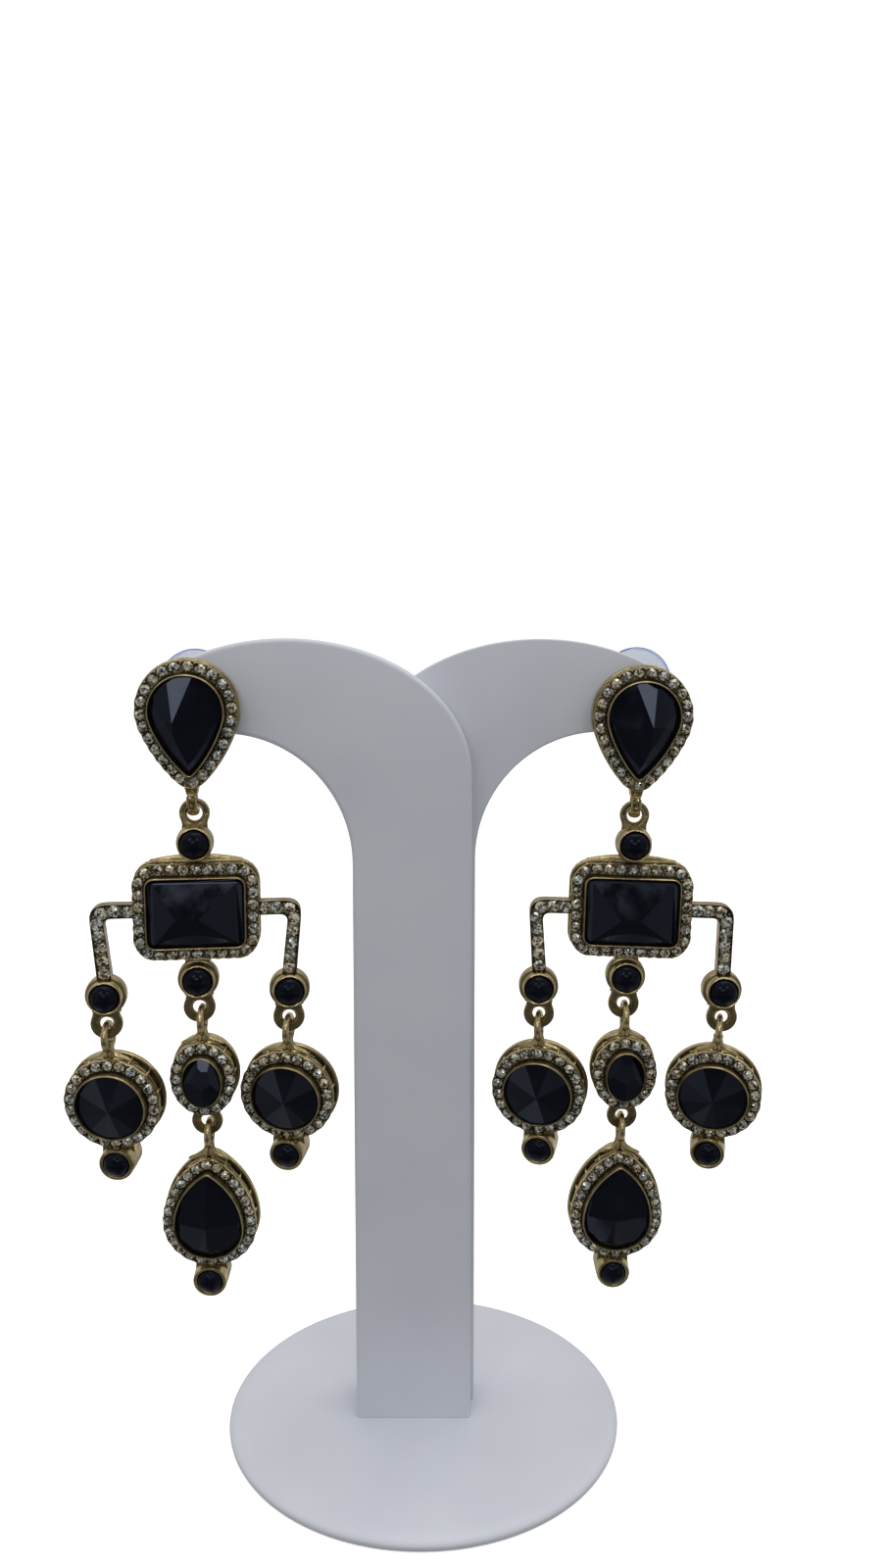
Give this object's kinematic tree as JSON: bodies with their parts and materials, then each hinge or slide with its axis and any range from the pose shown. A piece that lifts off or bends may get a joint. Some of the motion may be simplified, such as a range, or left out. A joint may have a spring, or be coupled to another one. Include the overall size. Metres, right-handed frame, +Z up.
{
  "type": "pair of chandelier earrings on display stand",
  "caption": "Long chandelier earrings in antique gold with black stones and clear pave borders, hanging by their studs from a plain white two-armed display stand.",
  "frame": {"origin": "centre of the base disc's underside, on the surface the stand rests on", "axes": "+Z up; -Y towards the viewer of the earrings' faces; +X to the viewer's right, along the stand's two arms"},
  "size_m": [0.1037, 0.0592, 0.1186],
  "materials": {
    "stand_plastic": "satin moulded plastic, cool white",
    "antique_gold": "cast costume metal, antique gold plating, darkened in the recesses",
    "black_glass": "polished opaque black glass, faceted stones and domed cabochons",
    "clear_plastic": "clear disc of an ear post clutch"
  },
  "bodies": {
    "stand_and_studs": {"stand_base": "stand_plastic", "stand_left_arm": "stand_plastic", "stand_right_arm": "stand_plastic", "left_stud": "antique_gold", "left_stud_stone": "black_glass", "left_clutch": "clear_plastic", "right_stud": "antique_gold", "right_stud_stone": "black_glass", "right_clutch": "clear_plastic"},
    "left_main": {"left_frame": "antique_gold", "left_frame_stone": "black_glass", "left_frame_cabochon_top": "black_glass", "left_frame_cabochon_bottom": "black_glass", "left_frame_cabochon_outer": "black_glass", "left_frame_cabochon_inner": "black_glass"},
    "left_outer": {"left_outer_drop": "antique_gold", "left_outer_drop_stone": "black_glass", "left_outer_drop_cabochon": "black_glass"},
    "left_inner": {"left_inner_drop": "antique_gold", "left_inner_drop_stone": "black_glass", "left_inner_drop_cabochon": "black_glass"},
    "left_oval": {"left_oval_link": "antique_gold", "left_oval_link_stone": "black_glass"},
    "left_pear": {"left_pear_drop": "antique_gold", "left_pear_drop_stone": "black_glass", "left_pear_drop_cabochon": "black_glass"},
    "right_main": {"right_frame": "antique_gold", "right_frame_stone": "black_glass", "right_frame_cabochon_top": "black_glass", "right_frame_cabochon_bottom": "black_glass", "right_frame_cabochon_outer": "black_glass", "right_frame_cabochon_inner": "black_glass"},
    "right_outer": {"right_outer_drop": "antique_gold", "right_outer_drop_stone": "black_glass", "right_outer_drop_cabochon": "black_glass"},
    "right_inner": {"right_inner_drop": "antique_gold", "right_inner_drop_stone": "black_glass", "right_inner_drop_cabochon": "black_glass"},
    "right_oval": {"right_oval_link": "antique_gold", "right_oval_link_stone": "black_glass"},
    "right_pear": {"right_pear_drop": "antique_gold", "right_pear_drop_stone": "black_glass", "right_pear_drop_cabochon": "black_glass"}
  },
  "joints": [
    {"name": "left_main_swing", "type": "hinge", "parent": "stand_and_studs", "child": "left_main", "pos_m": [-0.03232, -0.00566, 0.09569], "axis": [1, 0, 0], "range_deg": [-45, 45]},
    {"name": "left_outer_swing", "type": "hinge", "parent": "left_main", "child": "left_outer", "pos_m": [-0.04552, -0.00609, 0.06314], "axis": [1, 0, 0], "range_deg": [-25, 18]},
    {"name": "left_inner_swing", "type": "hinge", "parent": "left_main", "child": "left_inner", "pos_m": [-0.01976, -0.00293, 0.06328], "axis": [1, 0, 0], "range_deg": [-25, 18]},
    {"name": "left_oval_swing", "type": "hinge", "parent": "left_main", "child": "left_oval", "pos_m": [-0.03211, -0.00451, 0.06516], "axis": [1, 0, 0], "range_deg": [-25, 18]},
    {"name": "left_pear_swing", "type": "hinge", "parent": "left_oval", "child": "left_pear", "pos_m": [-0.03195, -0.00167, 0.04692], "axis": [1, 0, 0], "range_deg": [-25, 25]},
    {"name": "right_main_swing", "type": "hinge", "parent": "stand_and_studs", "child": "right_main", "pos_m": [0.03102, -0.00047, 0.09469], "axis": [1, 0, 0], "range_deg": [-45, 45]},
    {"name": "right_outer_swing", "type": "hinge", "parent": "right_main", "child": "right_outer", "pos_m": [0.04439, 0.00024, 0.06217], "axis": [1, 0, 0], "range_deg": [-25, 18]},
    {"name": "right_inner_swing", "type": "hinge", "parent": "right_main", "child": "right_inner", "pos_m": [0.01735, 0.0012, 0.06247], "axis": [1, 0, 0], "range_deg": [-25, 18]},
    {"name": "right_oval_swing", "type": "hinge", "parent": "right_main", "child": "right_oval", "pos_m": [0.03021, 0.00068, 0.06417], "axis": [1, 0, 0], "range_deg": [-25, 18]},
    {"name": "right_pear_swing", "type": "hinge", "parent": "right_oval", "child": "right_pear", "pos_m": [0.03032, 0.0032, 0.0459], "axis": [1, 0, 0], "range_deg": [-25, 25]}
  ]
}
